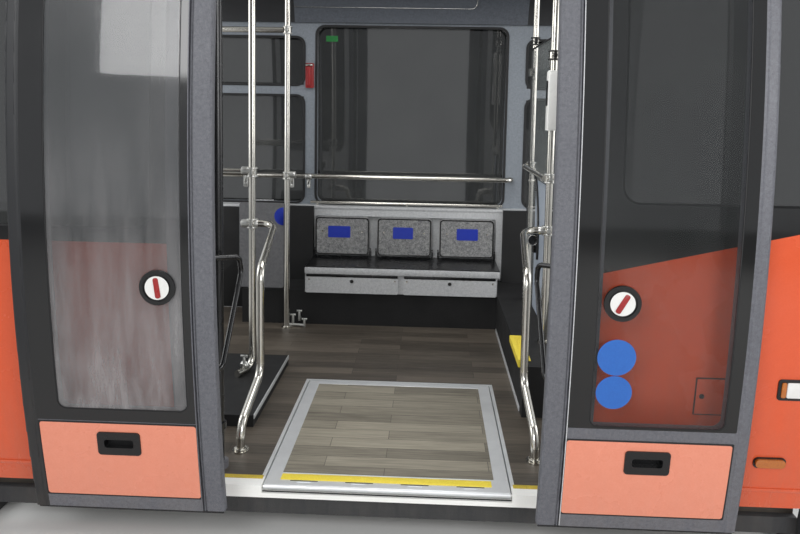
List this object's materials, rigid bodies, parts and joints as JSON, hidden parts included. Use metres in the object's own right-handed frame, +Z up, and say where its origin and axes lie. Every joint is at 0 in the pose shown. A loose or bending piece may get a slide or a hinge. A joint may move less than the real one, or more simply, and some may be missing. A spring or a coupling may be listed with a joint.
{
  "type": "low-floor passenger bus entrance bay",
  "caption": "Open-ended slice of a low-floor passenger bus with a double outward-swinging glazed door, fold-out ramp, tip-up seats, grab rails and bulging glazed walls.",
  "frame": {"origin": "outer edge of the doorway sill, in the middle of the doorway, at the height of the underframe's base", "axes": "+X towards the bus's front end, +Y from the doorway into the bus, +Z up"},
  "size_m": [3, 2.5841, 2.74],
  "materials": {
    "orange_paint": "gloss",
    "chassis_paint": "satin",
    "black_band": "gloss",
    "black_steel": "satin",
    "polished_steel": "brushed",
    "sill_aluminium": "satin",
    "floor_covering": "wood look",
    "light_lining": "satin",
    "dark_trim": "grained",
    "leaf_frame_grey": "speckled",
    "edge_rubber": "speckled",
    "tinted_glass": "gloss",
    "clear_glass": "gloss",
    "white_plastic": "gloss",
    "lamp_cover": "opal",
    "amber_lens": "gloss",
    "seat_grey": "moulded"
  },
  "bodies": {
    "bay": {"underframe": "chassis_paint", "floor_deck": "floor_covering", "door_sill": "sill_aluminium", "ramp_surround": "sill_aluminium", "ring_rear": "chassis_paint", "ring_front": "chassis_paint", "side_panel_rear": "orange_paint", "side_panel_front": "orange_paint", "window_frame_rear": "black_band", "window_frame_front": "black_band", "near_glass": "tinted_glass", "portal_posts": "leaf_frame_grey", "cantrail_near": "orange_paint", "door_header": "dark_trim", "far_panel": "orange_paint", "far_window_frame": "black_band", "far_glass": "tinted_glass", "cantrail_far": "orange_paint", "window_surround": "leaf_frame_grey", "far_lining": "light_lining", "bench_box": "light_lining", "bench_base": "dark_trim", "cove_panel": "dark_trim", "roof_skin": "orange_paint", "ceiling_panel": "light_lining", "ceiling_lights": "lamp_cover", "stanchions_rear": "polished_steel", "stanchions_front": "polished_steel", "ceiling_rails": "polished_steel", "window_rails": "polished_steel", "grab_rail_rear": "polished_steel", "grab_rail_front": "polished_steel", "glass_partition": "clear_glass", "rear_screen": "light_lining", "front_platform": "dark_trim", "rear_plinth": "dark_trim", "validator_box": "white_plastic", "marker_lamp": "amber_lens", "inspection_cover": "orange_paint", "seat_brackets": "black_steel"},
    "column_rear": {"column_rear": "black_steel"},
    "column_front": {"column_front": "black_steel"},
    "leaf_rear": {"leaf_frame_rear": "leaf_frame_grey", "leaf_glass_rear": "tinted_glass", "leaf_panel_rear": "orange_paint", "leaf_seal_rear": "edge_rubber", "leaf_fittings_rear": "black_steel"},
    "leaf_front": {"leaf_frame_front": "leaf_frame_grey", "leaf_glass_front": "tinted_glass", "leaf_panel_front": "orange_paint", "leaf_seal_front": "edge_rubber", "leaf_fittings_front": "black_steel"},
    "ramp": {"ramp_plate": "sill_aluminium", "ramp_mat": "floor_covering"},
    "seat_left": {"seat_left": "seat_grey"},
    "seat_middle": {"seat_middle": "seat_grey"},
    "seat_right": {"seat_right": "seat_grey"}
  },
  "joints": [
    {"name": "door_rear_swing", "type": "hinge", "parent": "bay", "child": "column_rear", "pos_m": [-0.61924, 0.12, 0.2], "axis": [0, 0, -1], "range_deg": [-113.6, 0]},
    {"name": "leaf_rear_turn", "type": "hinge", "parent": "column_rear", "child": "leaf_rear", "pos_m": [-0.853, -0.093, 0.2], "axis": [0, 0, -1], "range_deg": [0, 113.6]},
    {"name": "door_front_swing", "type": "hinge", "parent": "bay", "child": "column_front", "pos_m": [0.61924, 0.12, 0.2], "axis": [0, 0, 1], "range_deg": [-113.6, 0]},
    {"name": "leaf_front_turn", "type": "hinge", "parent": "column_front", "child": "leaf_front", "pos_m": [0.853, -0.093, 0.2], "axis": [0, 0, 1], "range_deg": [0, 113.6]},
    {"name": "ramp_fold", "type": "hinge", "parent": "bay", "child": "ramp", "pos_m": [0, 0.014, 0.191], "axis": [1, 0, 0], "range_deg": [0, 190]},
    {"name": "seat_left_tip", "type": "hinge", "parent": "bay", "child": "seat_left", "pos_m": [-0.419, 2.116, 0.615], "axis": [1, 0, 0], "range_deg": [0, 88], "stiffness_Nm_per_rad": 6, "springref_deg": -20.05},
    {"name": "seat_middle_tip", "type": "hinge", "parent": "bay", "child": "seat_middle", "pos_m": [-0.012, 2.116, 0.615], "axis": [1, 0, 0], "range_deg": [0, 88], "stiffness_Nm_per_rad": 6, "springref_deg": -20.05},
    {"name": "seat_right_tip", "type": "hinge", "parent": "bay", "child": "seat_right", "pos_m": [0.395, 2.116, 0.615], "axis": [1, 0, 0], "range_deg": [0, 88], "stiffness_Nm_per_rad": 6, "springref_deg": -20.05}
  ],
  "couplings": [
    {"joint": "leaf_rear_turn", "follows": "door_rear_swing", "ratio": -1},
    {"joint": "leaf_front_turn", "follows": "door_front_swing", "ratio": -1}
  ]
}
